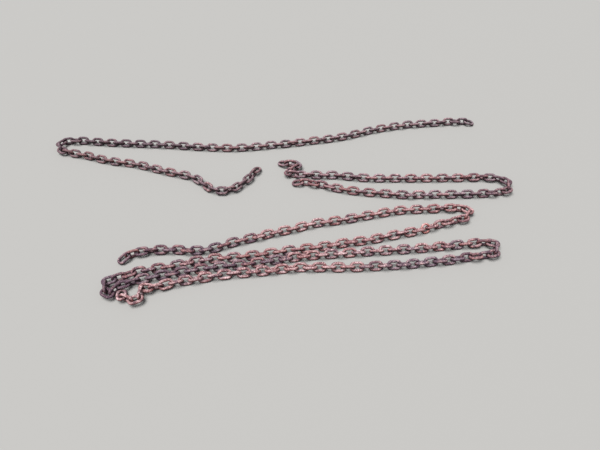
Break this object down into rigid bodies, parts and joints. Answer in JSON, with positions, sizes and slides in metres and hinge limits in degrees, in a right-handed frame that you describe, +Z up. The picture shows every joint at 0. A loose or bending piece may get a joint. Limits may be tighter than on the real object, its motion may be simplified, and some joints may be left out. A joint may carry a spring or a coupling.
{
  "type": "heap of steel chain",
  "caption": "Heap of rusty short-link welded steel chain: separate lengths laid on the ground side by side in long folded runs, with a round joining ring in the nearest length.",
  "frame": {"origin": "on the ground, under the middle of the heap's box", "axes": "+X along the long runs of chain, +Y towards the far length, +Z up"},
  "size_m": [2.398, 1.2572, 0.0458],
  "materials": {
    "far_rust": "rough dark purple-brown rust with dusty highlights",
    "middle_rust": "rough dark brown rust with dusty highlights",
    "front_rust": "rough red-brown rust with dusty highlights",
    "ring_rust": "rough orange-brown rust"
  },
  "bodies": {
    "root": {"far_chain_end_link_a": "far_rust", "far_chain_end_link_b": "far_rust", "far_chain_fold_link_01": "far_rust", "far_chain_fold_link_02": "far_rust", "far_chain_fold_link_03": "far_rust", "far_chain_run_01": "far_rust", "far_chain_run_02": "far_rust", "far_chain_run_03": "far_rust", "far_chain_run_04": "far_rust", "far_chain_run_05": "far_rust", "far_chain_run_06": "far_rust", "far_chain_run_07": "far_rust", "front_chain_end_link_a": "front_rust", "front_chain_end_link_b": "front_rust", "front_chain_fold_link_01": "front_rust", "front_chain_fold_link_02": "front_rust", "front_chain_fold_link_03": "front_rust", "front_chain_fold_link_04": "front_rust", "front_chain_fold_link_05": "front_rust", "front_chain_fold_link_06": "front_rust", "front_chain_fold_link_07": "front_rust", "front_chain_fold_link_08": "front_rust", "front_chain_fold_link_09": "front_rust", "front_chain_joining_ring": "ring_rust", "front_chain_run_01": "front_rust", "front_chain_run_02": "front_rust", "front_chain_run_03": "front_rust", "front_chain_run_04": "front_rust", "front_chain_run_05": "front_rust", "front_chain_run_06": "front_rust", "front_chain_run_07": "front_rust", "front_chain_run_08": "front_rust", "front_chain_run_09": "front_rust", "front_chain_run_10": "front_rust", "front_chain_run_11": "front_rust", "front_chain_run_12": "front_rust", "front_chain_run_13": "front_rust", "middle_chain_end_link_a": "middle_rust", "middle_chain_end_link_b": "middle_rust", "middle_chain_fold_link_01": "middle_rust", "middle_chain_fold_link_02": "middle_rust", "middle_chain_fold_link_03": "middle_rust", "middle_chain_fold_link_04": "middle_rust", "middle_chain_fold_link_05": "middle_rust", "middle_chain_run_01": "middle_rust", "middle_chain_run_02": "middle_rust", "middle_chain_run_03": "middle_rust", "middle_chain_run_04": "middle_rust"}
  },
  "joints": []
}
